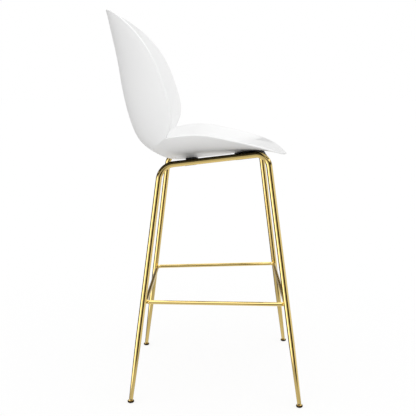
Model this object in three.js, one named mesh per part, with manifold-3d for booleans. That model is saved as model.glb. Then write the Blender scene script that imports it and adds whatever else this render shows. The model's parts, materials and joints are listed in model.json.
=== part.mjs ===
// A bar stool: a one-piece moulded seat shell on two bent tube hoops, with a bent-rod footrest and
// four tilting glides. Millimetres, +Z up. The sitter faces -Y. The origin is on the floor, under
// the middle of the stool's plan.
import * as THREE from "three";
import { mergeVertices } from "three/addons/utils/BufferGeometryUtils.js";
import { ParametricGeometry } from "three/addons/geometries/ParametricGeometry.js";
import Module from "manifold-3d";

const wasm = await Module();
wasm.setup();

// ---- driving dimensions ----------------------------------------------------------------------

const GAP = 0.3; // clearance between pieces that touch

// hoops: one bent tube for each side, from the rear foot over the rail to the front foot
const TUBE_DIAMETER = 18;
const TUBE_WALL = 1.8;
const LEG_TIP_DIAMETER = 12.4; // the legs are swaged down to this
const SWAGE_LENGTH = 185;
const REAR_BEND = 50; // radius of the tube's centre line
const FRONT_BEND = 38;
const RAIL = {
  rear: { x: 180, y: 123 }, // where the straight runs would meet if there were no bend
  front: { x: 204, y: -191 },
};
const FOOT = {
  rear: { x: 238, y: 225 },
  front: { x: 273, y: -284.5 },
};

// footrest: one rod bent into a ring inside the legs
const FOOTREST_HEIGHT = 308;
const FOOTREST_ROD = 12;
const FOOTREST_BEND = 14;
const REAR_TOUCH = 42; // degrees from fore-and-aft, the side of the leg that the ring's corner meets
const FRONT_TOUCH = 55;

// cross members under the shell, flat steel between the rails
const MEMBER_DROP = 8.5; // middle of the steel below the rails' centre line
const MEMBER_THICKNESS = 4;
const REAR_BAR = { y: 36, width: 35 };
const FRONT_PLATE = { y: -144, width: 92 };
const SEAT_GAP = { rear: 9.5, front: 8.9 }; // from a member's top up to the shell, at its fixings

// shell fixings
const BOSS_SPACING = 184; // left to right
const BOSS_DIAMETER = 24;
const BOSS_REACH = 26; // a boss runs up this far, into the wall
const BOSS_BORE_DEPTH = 8.3;
const SPACER = { width: 27, length: 33, corner: 3, floor: 1.8 }; // block round each boss
const INSERT = { diameter: 9, length: 7.5, groove: 0.6, grooveWidth: 2 };
const SCREW = { diameter: 6, length: 14, head: 11, headHeight: 3.3, socket: 4, socketDepth: 2 };
const LEAD_IN = 1; // chamfer on the end of a screw or a plug

// glides
const GLIDE = { diameter: 20.5, height: 8.8, bottom: 2.2, edge: 4.2, mouth: 5.4, break: 0.4, land: 0.1 };
const GLIDE_PAD = { diameter: 17.5, height: 3, chamfer: 0.6 };
const BALL = { diameter: 6, height: 6.3 }; // height of its centre above the floor
const STUD = { neck: 3.2, flange: 8, flangeThickness: 0.8, shank: 5, length: 15 };
const LEG_END = 4.6; // from the ball's centre up to the end of the tube
const PLUG_LENGTH = 20;

// shell
const SHELL_WALL = 5.5;
const SEAT_HEIGHT = 720; // lowest point of the shell's outside, above the floor
const SHELL_HEIGHT = 458; // from there up to the top of the back
const SIDE_RISE = 89; // from there up to the seat's side edges
const SEAT_REACH = 258; // the seat's front edge, forward of the middle
const BACK_REACH = 294; // the top of the back, behind the middle
const BACK_HALF_WIDTH = 262;
const SEAT_HALF_WIDTH = 257;
const NOTCH_HALF_WIDTH = 226; // where the back lobe meets the seat lobe
const WRAP = 1.02; // radians, how far a section bends round from its middle to its rim

// facets, and how far a cutter runs on past what it cuts
const TUBE_SIDES = 18;
const BORE_SIDES = 10;
const BEND_STEPS = 7;
const ROD_SIDES = 12;
const ROD_BEND_STEPS = 4;
const SMALL_SIDES = 12; // fasteners and other small turned pieces
const DISC_SIDES = 18; // pads and glides
const OVERRUN = 5;

// ---- helpers ---------------------------------------------------------------------------------

const vec = (x, y, z) => new THREE.Vector3(x, y, z);
const radians = THREE.MathUtils.degToRad;
const SIDES = { left: -1, right: 1 };
const ENDS = ["rear", "front"];

// A closed geometry as a solid for joining and cutting.
function solid(geometry) {
  const bare = geometry.clone();
  bare.deleteAttribute("normal");
  bare.deleteAttribute("uv");
  const merged = mergeVertices(bare, 1e-3);
  const corners = merged.index.array;
  const kept = [];
  for (let i = 0; i < corners.length; i += 3) {
    const [a, b, c] = corners.slice(i, i + 3);
    if (a !== b && b !== c && c !== a) kept.push(a, b, c);
  }
  const mesh = new wasm.Mesh({
    numProp: 3,
    vertProperties: merged.attributes.position.array,
    triVerts: new Uint32Array(kept),
  });
  return new wasm.Manifold(mesh);
}

function geometryOf(body) {
  const { vertProperties, triVerts } = body.getMesh();
  return new THREE.BufferGeometry()
    .setAttribute("position", new THREE.BufferAttribute(vertProperties, 3))
    .setIndex(new THREE.BufferAttribute(triVerts, 1));
}

// A revolved piece whose axis is +Z. Each outline point is [radius, height].
function turned(outline, segments) {
  const closed = [...outline, outline[0]].map(([r, h]) => new THREE.Vector2(r, h));
  return new THREE.LatheGeometry(closed, segments).rotateX(Math.PI / 2);
}

function rod(diameter, bottom, top, segments) {
  return turned([[0, bottom], [diameter / 2, bottom], [diameter / 2, top], [0, top]], segments);
}

// A tube through stations of { point, tangent, radius }. A closed one ends where it starts.
function tube(stations, segments, closed = false) {
  const frames = [];
  const reference = Math.abs(stations[0].tangent.x) < 0.7 ? vec(1, 0, 0) : vec(0, 0, 1);
  let across = reference.cross(stations[0].tangent).normalize();
  stations.forEach(({ tangent }, i) => {
    if (i > 0) {
      const turn = new THREE.Quaternion().setFromUnitVectors(stations[i - 1].tangent, tangent);
      across = across.clone().applyQuaternion(turn);
    }
    frames.push({ across, up: across.clone().cross(tangent) });
  });
  const caps = closed ? 0 : 1;
  const last = stations.length - 1;
  const rows = last + 2 * caps;
  const place = (u, v, target) => {
    const row = Math.round(u * rows) - caps;
    const i = closed ? row % last : THREE.MathUtils.clamp(row, 0, last);
    const radius = closed || row === i ? stations[i].radius : 0;
    const angle = (2 * Math.PI * (Math.round(v * segments) % segments)) / segments;
    target
      .copy(stations[i].point)
      .addScaledVector(frames[i].across, radius * Math.cos(angle))
      .addScaledVector(frames[i].up, radius * Math.sin(angle));
  };
  return new ParametricGeometry(place, rows, segments);
}

// Stations round an arc that leaves `from` along `heading` and turns to `nextHeading`.
function arcStations(corner, heading, nextHeading, bend, radius, steps) {
  const angle = heading.angleTo(nextHeading);
  const start = corner.clone().addScaledVector(heading, -bend * Math.tan(angle / 2));
  const axis = heading.clone().cross(nextHeading).normalize();
  const centre = start.clone().addScaledVector(axis.clone().cross(heading), bend);
  const stations = [];
  for (let i = 0; i <= steps; i++) {
    const turn = new THREE.Quaternion().setFromAxisAngle(axis, (angle * i) / steps);
    stations.push({
      point: start.clone().sub(centre).applyQuaternion(turn).add(centre),
      tangent: heading.clone().applyQuaternion(turn),
      radius,
    });
  }
  return stations;
}

// A cubic spline through evenly timed values. At an end on the stool's middle plane the values
// run on as their mirror image times the parity. At any other end the parity is 0.
function splineThrough(values, startParity, endParity) {
  const n = values.length;
  const control = values.slice();
  const padded = () => [
    startParity ? startParity * control[1] : 2 * control[0] - control[1],
    ...control,
    endParity ? endParity * control[n - 2] : 2 * control[n - 1] - control[n - 2],
  ];
  for (let pass = 0; pass < 60; pass++) {
    const c = padded();
    values.forEach((value, i) => {
      control[i] += value - (c[i] + 4 * c[i + 1] + c[i + 2]) / 6;
    });
  }
  const c = padded();
  return (t) => {
    const i = THREE.MathUtils.clamp(Math.floor(t), 0, n - 2);
    const f = t - i;
    const g = 1 - f;
    const near = 3 * f ** 3 - 6 * f ** 2 + 4;
    const far = 3 * g ** 3 - 6 * g ** 2 + 4;
    return (g ** 3 * c[i] + near * c[i + 1] + far * c[i + 2] + f ** 3 * c[i + 3]) / 6;
  };
}

// ---- seat shell ------------------------------------------------------------------------------

// Stations along the shell from the top of the back to the front edge of the seat. `spine` is
// [y, height] on the middle plane, and `rim` is [half width, y, height] on the edge. All are shares
// of the shell's own sizes: half widths of the lobe's, y of the back's or the seat's reach, heights
// of the seat of the side rise, and heights of the back of the way from the notch to the top.
const BACK_STATIONS = [
  { spine: [1, 1], rim: [0, 1, 1] },
  { spine: [0.98, 0.95], rim: [0.378, 0.939, 0.984] },
  { spine: [0.951, 0.843], rim: [0.687, 0.793, 0.91] },
  { spine: [0.91, 0.683], rim: [0.889, 0.612, 0.778] },
  { spine: [0.871, 0.489], rim: [0.977, 0.449, 0.586] },
  { spine: [0.828, 0.274], rim: [1, 0.344, 0.364] },
  { spine: [0.721, 0], rim: [0.973, 0.296, 0.156] },
];
const NOTCH_STATION = [{ spine: [0.565, 0.348], rim: [1, 0.371, 0.888] }];
const SEAT_STATIONS = [
  { spine: [0.395, 0], rim: [0.957, 0.233, 0.978] },
  { spine: [0.085, 0.051], rim: [0.988, -0.012, 1] },
  { spine: [-0.264, 0.165], rim: [1, -0.283, 0.854] },
  { spine: [-0.582, 0.328], rim: [0.957, -0.589, 0.64] },
  { spine: [-0.822, 0.348], rim: [0.774, -0.864, 0.371] },
  { spine: [-0.955, 0.21], rim: [0.409, -0.965, 0.236] },
  { spine: [-1, 0.14], rim: [0, -1, 0.14] },
];

const notchStation = NOTCH_STATION.map(({ spine, rim }) => ({
  spine: [BACK_REACH * spine[0], SEAT_HEIGHT + SIDE_RISE * spine[1]],
  rim: [NOTCH_HALF_WIDTH * rim[0], BACK_REACH * rim[1], SEAT_HEIGHT + SIDE_RISE * rim[2]],
}));
const notchHeight = notchStation[0].rim[2];
const backHeight = SEAT_HEIGHT + SHELL_HEIGHT - notchHeight;
const fromBack = ({ spine, rim }) => ({
  spine: [BACK_REACH * spine[0], notchHeight + backHeight * spine[1]],
  rim: [BACK_HALF_WIDTH * rim[0], BACK_REACH * rim[1], notchHeight + backHeight * rim[2]],
});
const fromSeat = ({ spine, rim }) => ({
  spine: [SEAT_REACH * spine[0], SEAT_HEIGHT + SIDE_RISE * spine[1]],
  rim: [SEAT_HALF_WIDTH * rim[0], SEAT_REACH * rim[1], SEAT_HEIGHT + SIDE_RISE * rim[2]],
});
const backRow = [...BACK_STATIONS.map(fromBack), ...notchStation];
const seatRow = [...notchStation, ...SEAT_STATIONS.map(fromSeat)];
const allRow = [...backRow, ...seatRow.slice(1)];
const CREASE = backRow.length - 1; // the station of the notch
const LAST = allRow.length - 1;

// Each rim is two smooth curves that meet in a corner at the notch.
const spineOf = [0, 1].map((k) => splineThrough(allRow.map(({ spine }) => spine[k]), 1, 1));
const rimOf = [0, 1, 2].map((k) => {
  const parity = k === 0 ? -1 : 1;
  const back = splineThrough(backRow.map(({ rim }) => rim[k]), parity, 0);
  const seat = splineThrough(seatRow.map(({ rim }) => rim[k]), 0, parity);
  return (t) => (t < CREASE ? back(t) : seat(t - CREASE));
});
const insideEnds = (t) => THREE.MathUtils.clamp(t, 0.02, LAST - 0.02);

// The shell's outside at station t, x from the middle plane. A section bends like an arc.
function shellPoint(t, x) {
  const [width, rimY, rimZ] = rimOf.map((curve) => curve(t));
  const [y, z] = spineOf.map((curve) => curve(t));
  const bend = Math.asin(THREE.MathUtils.clamp((x / width) * Math.sin(WRAP), -1, 1));
  const share = (1 - Math.cos(bend)) / (1 - Math.cos(WRAP));
  return vec(x, y + (rimY - y) * share, z + (rimZ - z) * share);
}

// The way from the outside to the inside, square to the wall.
function shellNormal(t, x) {
  const dt = 0.004;
  const dx = 0.002 * rimOf[0](t);
  const along = shellPoint(t + dt, x).sub(shellPoint(t - dt, x));
  const across = shellPoint(t, x + dx).sub(shellPoint(t, x - dx));
  return along.cross(across).normalize();
}

// Height of the shell's outside over a place in the plan, searched between the crease and the front.
function undersideHeight(x, y) {
  let [behind, ahead] = [CREASE - 1, LAST - 1];
  while (ahead - behind > 1e-6) {
    const t = (behind + ahead) / 2;
    if (shellPoint(t, x).y > y) behind = t;
    else ahead = t;
  }
  return shellPoint(behind, x).z;
}

const RINGS = 10; // from the middle of the shell out to its rim
const RIM_ARC = 3; // facets round the rim's edge
const RIM_POINTS = 3 * LAST; // along one side of the rim

// The skin between two depths into the wall. The rings widen from the foot of the crease.
function shellSkin(outer, inner) {
  const rows = 2 * RINGS + RIM_ARC;
  const place = (u, v, target) => {
    const side = v <= 0.5 ? 1 : -1;
    const rimT = LAST * (side > 0 ? 2 * v : 2 - 2 * v);
    const row = Math.round(u * rows);
    const beyond = THREE.MathUtils.clamp(row - RINGS, 0, RIM_ARC);
    const share = Math.min(row, rows - row, RINGS) / RINGS;
    const t = insideEnds(CREASE + (rimT - CREASE) * share);
    const x = side * Math.min(share * rimOf[0](rimT), rimOf[0](t));
    const normal = shellNormal(t, x);
    const turn = (Math.PI * beyond) / RIM_ARC;
    const depth = (outer + inner) / 2 - ((inner - outer) / 2) * Math.cos(turn);
    target.copy(shellPoint(t, x)).addScaledVector(normal, depth);
    if (beyond > 0 && beyond < RIM_ARC) {
      const along = shellPoint(insideEnds(rimT + 0.01), side * rimOf[0](insideEnds(rimT + 0.01)));
      along.sub(shellPoint(insideEnds(rimT - 0.01), side * rimOf[0](insideEnds(rimT - 0.01))));
      const out = along.cross(normal).normalize().multiplyScalar(side);
      target.addScaledVector(out, ((inner - outer) / 2) * Math.sin(turn));
    }
  };
  return solid(new ParametricGeometry(place, rows, 2 * RIM_POINTS));
}

// ---- frame -----------------------------------------------------------------------------------

const along = (start, direction, distance) => start.clone().addScaledVector(direction, distance);

// The rails and the members lie in one plane, which hangs from the shell at the fixings.
const MEMBERS = { rear: REAR_BAR, front: FRONT_PLATE };
const memberTop = MEMBER_THICKNESS / 2 - MEMBER_DROP;
const topHeight = (end) => undersideHeight(BOSS_SPACING / 2, MEMBERS[end].y) - SEAT_GAP[end];
const railSlope = Math.atan2(topHeight("front") - topHeight("rear"), REAR_BAR.y - FRONT_PLATE.y);
const seatFrame = new THREE.Group();
seatFrame.position.z =
  topHeight("rear") + REAR_BAR.y * Math.tan(railSlope) - memberTop / Math.cos(railSlope);
seatFrame.rotation.x = -railSlope;
seatFrame.updateMatrixWorld();

const railHeight = (end) => seatFrame.position.z - RAIL[end].y * Math.tan(railSlope);
const railCorner = (end, side) => vec(side * RAIL[end].x, RAIL[end].y, railHeight(end));
const ballCentre = (end, side) => vec(side * FOOT[end].x, FOOT[end].y, BALL.height);
const legUp = (end, side) => railCorner(end, side).sub(ballCentre(end, side)).normalize();

// Stations of a hoop from its rear tip to its front tip. `inset` is taken off the radius, and
// `overrun` carries the ends on past the tips.
function hoopStations(side, inset, overrun = 0) {
  const full = TUBE_DIAMETER / 2 - inset;
  const tip = LEG_TIP_DIAMETER / 2 - inset;
  const [rearUp, frontUp] = ENDS.map((end) => legUp(end, side));
  const [rearBall, frontBall] = ENDS.map((end) => ballCentre(end, side));
  const [rearCorner, frontCorner] = ENDS.map((end) => railCorner(end, side));
  const forward = frontCorner.clone().sub(rearCorner).normalize();
  const frontDown = frontUp.clone().negate();
  const leg = (ball, up, tangent) => [
    { point: along(ball, up, LEG_END - overrun), tangent, radius: tip },
    { point: along(ball, up, LEG_END + SWAGE_LENGTH), tangent, radius: full },
  ];
  return [
    ...leg(rearBall, rearUp, rearUp),
    ...arcStations(rearCorner, rearUp, forward, REAR_BEND, full, BEND_STEPS),
    ...arcStations(frontCorner, forward, frontDown, FRONT_BEND, full, BEND_STEPS),
    ...leg(frontBall, frontUp, frontDown).reverse(),
  ];
}

const hoop = (side) => {
  const bore = solid(tube(hoopStations(side, TUBE_WALL, OVERRUN), BORE_SIDES));
  return solid(tube(hoopStations(side, 0), TUBE_SIDES)).subtract(bore);
};

// The footrest's bends stand against the insides of the legs.
function footrestStations() {
  const around = [
    { end: "rear", side: 1 },
    { end: "front", side: 1 },
    { end: "front", side: -1 },
    { end: "rear", side: -1 },
  ];
  const centres = around.map(({ end, side }) => {
    const up = legUp(end, side);
    const ball = ballCentre(end, side);
    const leg = along(ball, up, (FOOTREST_HEIGHT - ball.z) / up.z);
    const touch = radians(end === "rear" ? REAR_TOUCH : FRONT_TOUCH);
    const facing = vec(side * Math.sin(touch), (end === "rear" ? 1 : -1) * Math.cos(touch), 0);
    const reach = (TUBE_DIAMETER / 2 + FOOTREST_ROD / 2 + GAP) / Math.sqrt(1 - facing.dot(up) ** 2);
    return along(leg, facing, -(FOOTREST_BEND + reach));
  });
  const stations = [];
  centres.forEach((centre, i) => {
    const heading = centre.clone().sub(centres.at(i - 1)).normalize();
    const next = centres[(i + 1) % 4].clone().sub(centre).normalize();
    for (let k = 0; k <= ROD_BEND_STEPS; k++) {
      const angle = (heading.angleTo(next) * k) / ROD_BEND_STEPS;
      const turn = new THREE.Quaternion().setFromAxisAngle(vec(0, 0, -1), angle);
      const tangent = heading.clone().applyQuaternion(turn);
      const out = vec(-tangent.y, tangent.x, 0);
      stations.push({ point: along(centre, out, FOOTREST_BEND), tangent, radius: FOOTREST_ROD / 2 });
    }
  });
  return [...stations, stations[0]];
}

// ---- seat fixings, laid out in the plane of the rails -----------------------------------------

const bossBottom = memberTop + SPACER.floor + 2 * GAP;
const railX = (y) => THREE.MathUtils.mapLinear(y, RAIL.rear.y, RAIL.front.y, RAIL.rear.x, RAIL.front.x);
const fixingPlace = (end, side) => vec((side * BOSS_SPACING) / 2, MEMBERS[end].y, 0);

// Flat steel with rounded edges, coped to the rails and drilled for the screws.
function crossMember(end) {
  const { y, width } = MEMBERS[end];
  const reach = railX(y);
  const edge = MEMBER_THICKNESS / 4;
  const cornerX = width / 2 - edge;
  const cornerY = MEMBER_THICKNESS / 2 - edge;
  const section = new THREE.Shape();
  section.absarc(cornerX, cornerY, edge, 0, Math.PI / 2);
  section.absarc(-cornerX, cornerY, edge, Math.PI / 2, Math.PI);
  section.absarc(-cornerX, -cornerY, edge, Math.PI, 1.5 * Math.PI);
  section.absarc(cornerX, -cornerY, edge, 1.5 * Math.PI, 2 * Math.PI);
  const sweep = { depth: 2 * reach, bevelEnabled: false, curveSegments: 2 };
  const bar = new THREE.ExtrudeGeometry(section, sweep);
  bar.translate(0, 0, -reach).rotateY(Math.PI / 2).rotateX(Math.PI / 2);
  bar.translate(0, y, -MEMBER_DROP).applyMatrix4(seatFrame.matrixWorld);
  let member = solid(bar);
  for (const side of Object.values(SIDES)) {
    const { x } = fixingPlace(end, side);
    const hole = rod(SCREW.diameter + 2 * GAP, -MEMBER_THICKNESS, MEMBER_THICKNESS, SMALL_SIDES);
    hole.translate(x, y, -MEMBER_DROP).applyMatrix4(seatFrame.matrixWorld);
    const rail = solid(tube(hoopStations(side, -GAP), TUBE_SIDES));
    const pieces = member.subtract(solid(hole)).subtract(rail).decompose();
    member = pieces.sort((a, b) => b.volume() - a.volume())[0];
  }
  return member;
}

// The moulded skin with a bored boss over each fixing. A boss ends inside the wall's thickness.
function seatShell() {
  const aboveWall = shellSkin(SHELL_WALL / 2, BOSS_REACH + SHELL_WALL);
  let shell = shellSkin(0, SHELL_WALL);
  for (const end of ENDS) {
    for (const side of Object.values(SIDES)) {
      const { x, y } = fixingPlace(end, side);
      const place = new THREE.Matrix4().makeTranslation(x, y, bossBottom);
      place.premultiply(seatFrame.matrixWorld);
      const boss = rod(BOSS_DIAMETER, 0, BOSS_REACH, DISC_SIDES).applyMatrix4(place);
      const bore = rod(INSERT.diameter + 2 * GAP, -OVERRUN, BOSS_BORE_DEPTH, SMALL_SIDES);
      shell = shell.add(solid(boss).subtract(aboveWall)).subtract(solid(bore.applyMatrix4(place)));
    }
  }
  return shell;
}

// The block under the shell at a fixing. It stands on the member and holds the boss in a socket.
function spacerPad(end, side) {
  const { width, length, corner, floor } = SPACER;
  const { x, y } = fixingPlace(end, side);
  const outline = new THREE.Shape();
  const [cornerX, cornerY] = [width / 2 - corner, length / 2 - corner];
  outline.absarc(cornerX, cornerY, corner, 0, Math.PI / 2);
  outline.absarc(-cornerX, cornerY, corner, Math.PI / 2, Math.PI);
  outline.absarc(-cornerX, -cornerY, corner, Math.PI, 1.5 * Math.PI);
  outline.absarc(cornerX, -cornerY, corner, 1.5 * Math.PI, 2 * Math.PI);
  const sweep = { depth: BOSS_REACH, bevelEnabled: false, curveSegments: 2 };
  const place = new THREE.Matrix4().makeTranslation(x, y, memberTop + GAP);
  place.premultiply(seatFrame.matrixWorld);
  const socket = rod(BOSS_DIAMETER + 2 * GAP, floor, BOSS_REACH + OVERRUN, DISC_SIDES);
  const hole = rod(SCREW.diameter + 4 * GAP, -OVERRUN, BOSS_REACH, SMALL_SIDES);
  return solid(new THREE.ExtrudeGeometry(outline, sweep).applyMatrix4(place))
    .subtract(solid(socket.applyMatrix4(place)))
    .subtract(solid(hole.applyMatrix4(place)))
    .subtract(shellSkin(-GAP, BOSS_REACH + SHELL_WALL));
}

// ---- small turned pieces ----------------------------------------------------------------------

// A ring with a groove round its middle, standing on z = 0.
function threadedInsert() {
  const { diameter, length, groove, grooveWidth } = INSERT;
  const [below, above] = [(length - grooveWidth) / 2, (length + grooveWidth) / 2];
  const outer = diameter / 2;
  const inner = outer - groove;
  const bore = SCREW.diameter / 2 + GAP;
  const outline = [[bore, 0], [outer, 0], [outer, below], [inner, below + groove]];
  outline.push([inner, above - groove], [outer, above], [outer, length], [bore, length]);
  return turned(outline, SMALL_SIDES);
}

// A button-head screw pointing up, its head's flat underside at z = 0.
function screw() {
  const { diameter, length, head, headHeight, socket, socketDepth } = SCREW;
  const crown = 0.55 * head;
  const outline = [[0, -headHeight], [crown / 2, -headHeight], [0.43 * head, -0.62 * headHeight]];
  outline.push([head / 2, -0.2 * headHeight], [head / 2, 0], [diameter / 2, 0]);
  outline.push([diameter / 2, length - LEAD_IN], [diameter / 2 - LEAD_IN, length], [0, length]);
  const key = rod((2 * socket) / Math.sqrt(3), -headHeight - OVERRUN, socketDepth - headHeight, 6);
  return geometryOf(solid(turned(outline, SMALL_SIDES)).subtract(solid(key)));
}

// The stud's ball is centred on the origin, and its shank runs up +Z into the leg.
function glideStud() {
  const { neck, flange, flangeThickness, shank, length } = STUD;
  const radius = BALL.diameter / 2;
  const start = Math.asin(neck / 2 / radius);
  const outline = [[0, -radius]];
  const steps = 6;
  for (let i = 1; i <= steps; i++) {
    const angle = ((Math.PI - start) * i) / steps;
    outline.push([radius * Math.sin(angle), -radius * Math.cos(angle)]);
  }
  const seat = LEG_END - GAP;
  outline.push([neck / 2, seat - flangeThickness], [flange / 2, seat - flangeThickness]);
  outline.push([flange / 2, seat], [shank / 2, seat], [shank / 2, seat + length], [0, seat + length]);
  return turned(outline, SMALL_SIDES);
}

function legPlug() {
  const outer = LEG_TIP_DIAMETER / 2 - TUBE_WALL - GAP;
  const bore = STUD.shank / 2 + GAP;
  const top = LEG_END + PLUG_LENGTH;
  const outline = [[bore, LEG_END], [outer, LEG_END], [outer, top - LEAD_IN]];
  outline.push([outer - LEAD_IN, top], [bore, top]);
  return turned(outline, SMALL_SIDES);
}

// A domed cap with a ball socket, above a pad. Both stand on the floor, z = 0.
function glideCap() {
  const { diameter, height, bottom, edge, mouth, land } = GLIDE;
  const socket = BALL.diameter / 2 + GAP;
  const recess = GLIDE_PAD.diameter / 2 + GAP;
  const ceiling = GLIDE_PAD.height + GAP;
  const outline = [[recess, bottom], [diameter / 2 - GLIDE.break, bottom]];
  outline.push([diameter / 2, bottom + GLIDE.break]);
  const domeSteps = 4;
  for (let i = 0; i <= domeSteps; i++) {
    const angle = (Math.PI / 2) * (i / domeSteps);
    const r = mouth / 2 + (diameter / 2 - mouth / 2) * Math.cos(angle);
    outline.push([r, edge + (height - edge) * Math.sin(angle)]);
  }
  const socketSteps = 3;
  const top = Math.acos((mouth / 2 - land) / socket);
  for (let i = socketSteps; i >= 0; i--) {
    const angle = (top * i) / socketSteps;
    outline.push([socket * Math.cos(angle), BALL.height + socket * Math.sin(angle)]);
  }
  outline.push([socket, ceiling], [recess, ceiling]);
  return turned(outline, DISC_SIDES);
}

function glidePad() {
  const edge = GLIDE_PAD.diameter / 2;
  const { height, chamfer } = GLIDE_PAD;
  return turned([[0, 0], [edge - chamfer, 0], [edge, chamfer], [edge, height], [0, height]], DISC_SIDES);
}

// ---- the stool --------------------------------------------------------------------------------

const plastic = new THREE.MeshStandardMaterial({ color: "#f1f1ef", roughness: 0.45 });
const brass = new THREE.MeshStandardMaterial({ color: "#d6b25e", roughness: 0.22, metalness: 1 });
const blackSteel = new THREE.MeshStandardMaterial({ color: "#1a1a1b", roughness: 0.5, metalness: 0.3 });
const rubber = new THREE.MeshStandardMaterial({ color: "#151515", roughness: 0.85 });
const zinc = new THREE.MeshStandardMaterial({ color: "#8d9094", roughness: 0.35, metalness: 1 });

const stool = new THREE.Group();
function put(parent, name, geometry, material) {
  const mesh = new THREE.Mesh(geometry, material);
  mesh.name = name;
  parent.add(mesh);
  return mesh;
}

stool.add(seatFrame);
put(stool, "seat_shell", geometryOf(seatShell()), plastic);
put(stool, "footrest_ring", geometryOf(solid(tube(footrestStations(), ROD_SIDES, true))), brass);
put(stool, "rear_cross_bar", geometryOf(crossMember("rear")), blackSteel);
put(stool, "front_cross_plate", geometryOf(crossMember("front")), blackSteel);

for (const [sideName, side] of Object.entries(SIDES)) {
  put(stool, `${sideName}_side_hoop`, geometryOf(hoop(side)), brass);
  for (const end of ENDS) {
    const name = `${end}_${sideName}`;
    const { x, y } = fixingPlace(end, side);
    const under = memberTop - MEMBER_THICKNESS - GAP;
    put(stool, `${name}_spacer_pad`, geometryOf(spacerPad(end, side)), rubber);
    put(seatFrame, `${name}_insert`, threadedInsert(), brass).position.set(x, y, bossBottom + GAP);
    put(seatFrame, `${name}_screw`, screw(), zinc).position.set(x, y, under);

    const leg = new THREE.Group();
    leg.position.copy(ballCentre(end, side));
    leg.quaternion.setFromUnitVectors(vec(0, 0, 1), legUp(end, side));
    stool.add(leg);
    put(leg, `${name}_glide_stud`, glideStud(), zinc);
    put(leg, `${name}_leg_plug`, legPlug(), rubber);
    put(stool, `${name}_glide_cap`, glideCap(), brass).position.set(side * FOOT[end].x, FOOT[end].y, 0);
    put(stool, `${name}_glide_pad`, glidePad(), rubber).position.set(side * FOOT[end].x, FOOT[end].y, 0);
  }
}

// The origin goes under the middle of the plan.
const plan = new THREE.Box3().setFromObject(stool);
stool.position.y = -(plan.min.y + plan.max.y) / 2;

export default stool;
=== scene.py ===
# %% [markdown]
# # A bar stool with a moulded shell and a brass frame
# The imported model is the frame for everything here: its nodes hold the true sizes and places, and
# every new piece takes its place from them. Its box is kept, to compare the pieces with at the end.

# %% Load the frame
import json
import math

import bmesh
import bpy
import numpy as np
from mathutils import Matrix, Quaternion, Vector
from mathutils.bvhtree import BVHTree


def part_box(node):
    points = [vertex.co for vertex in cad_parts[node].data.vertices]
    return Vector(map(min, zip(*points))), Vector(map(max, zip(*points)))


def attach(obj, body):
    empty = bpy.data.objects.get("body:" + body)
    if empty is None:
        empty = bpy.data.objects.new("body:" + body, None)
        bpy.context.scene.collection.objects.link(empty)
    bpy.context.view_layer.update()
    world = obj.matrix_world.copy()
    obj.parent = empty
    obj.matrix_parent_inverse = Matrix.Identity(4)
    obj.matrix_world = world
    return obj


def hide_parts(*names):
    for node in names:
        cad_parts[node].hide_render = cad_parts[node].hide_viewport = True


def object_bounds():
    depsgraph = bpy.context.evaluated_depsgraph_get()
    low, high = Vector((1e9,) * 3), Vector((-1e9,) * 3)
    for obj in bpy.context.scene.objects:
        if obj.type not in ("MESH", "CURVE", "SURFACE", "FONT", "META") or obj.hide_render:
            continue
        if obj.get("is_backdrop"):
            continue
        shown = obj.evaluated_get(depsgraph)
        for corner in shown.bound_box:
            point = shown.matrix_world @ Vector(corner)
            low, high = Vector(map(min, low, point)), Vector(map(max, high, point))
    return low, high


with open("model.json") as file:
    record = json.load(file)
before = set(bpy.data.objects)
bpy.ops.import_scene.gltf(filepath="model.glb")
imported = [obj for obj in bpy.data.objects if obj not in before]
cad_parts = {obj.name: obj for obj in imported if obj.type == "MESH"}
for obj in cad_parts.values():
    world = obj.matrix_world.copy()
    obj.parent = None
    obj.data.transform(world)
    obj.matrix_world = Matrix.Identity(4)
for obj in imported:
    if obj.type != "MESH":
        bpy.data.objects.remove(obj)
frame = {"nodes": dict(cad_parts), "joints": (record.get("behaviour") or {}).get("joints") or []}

MM = 0.001
cad_low, cad_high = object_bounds()
print("nodes", len(frame["nodes"]), "size in mm", [round(v / MM, 1) for v in cad_high - cad_low])

# %% [markdown]
# ## The camera
# The view is from the stool's side, a little above the seat and looking down at it. A long lens
# keeps the four legs nearly parallel. A camera looks along its own -Z, so `to_track_quat` turns
# that axis onto the view, and the small roll is added after it.

# %% Camera
CAMERA_PLACE = Vector((-2.264, -0.0517, 0.972))
CAMERA_YAW = math.radians(1.0)
CAMERA_PITCH = math.radians(-10.38)
CAMERA_ROLL = math.radians(-0.61)
CAMERA_LENS = 61.56
SENSOR_WIDTH = 36

view = Vector((
    math.cos(CAMERA_YAW) * math.cos(CAMERA_PITCH),
    math.sin(CAMERA_YAW) * math.cos(CAMERA_PITCH),
    math.sin(CAMERA_PITCH),
))
camera = bpy.data.objects.new("camera", bpy.data.cameras.new("camera"))
camera.data.sensor_width = SENSOR_WIDTH
camera.data.lens = CAMERA_LENS
camera.location = CAMERA_PLACE
camera.rotation_mode = "QUATERNION"
camera.rotation_quaternion = view.to_track_quat("-Z", "Y") @ Quaternion((0, 0, 1), CAMERA_ROLL)
bpy.context.scene.collection.objects.link(camera)
bpy.context.scene.camera = camera
bpy.context.scene.view_settings.view_transform = "Standard"
print("camera looks along", [round(v, 3) for v in view])

# %% [markdown]
# ## Wiring materials
# A node tree is quick to draw with a mouse and slow to read in code. Two small classes make it read
# like a sum. `Wiring.add` makes one node: its settings first, then what its sockets are fed.
# `Wire` wraps an output, and adding or multiplying wires adds the Math nodes for it. A colour is
# written as red, green and blue, and `feed` adds the fourth value that its socket wants.

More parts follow.
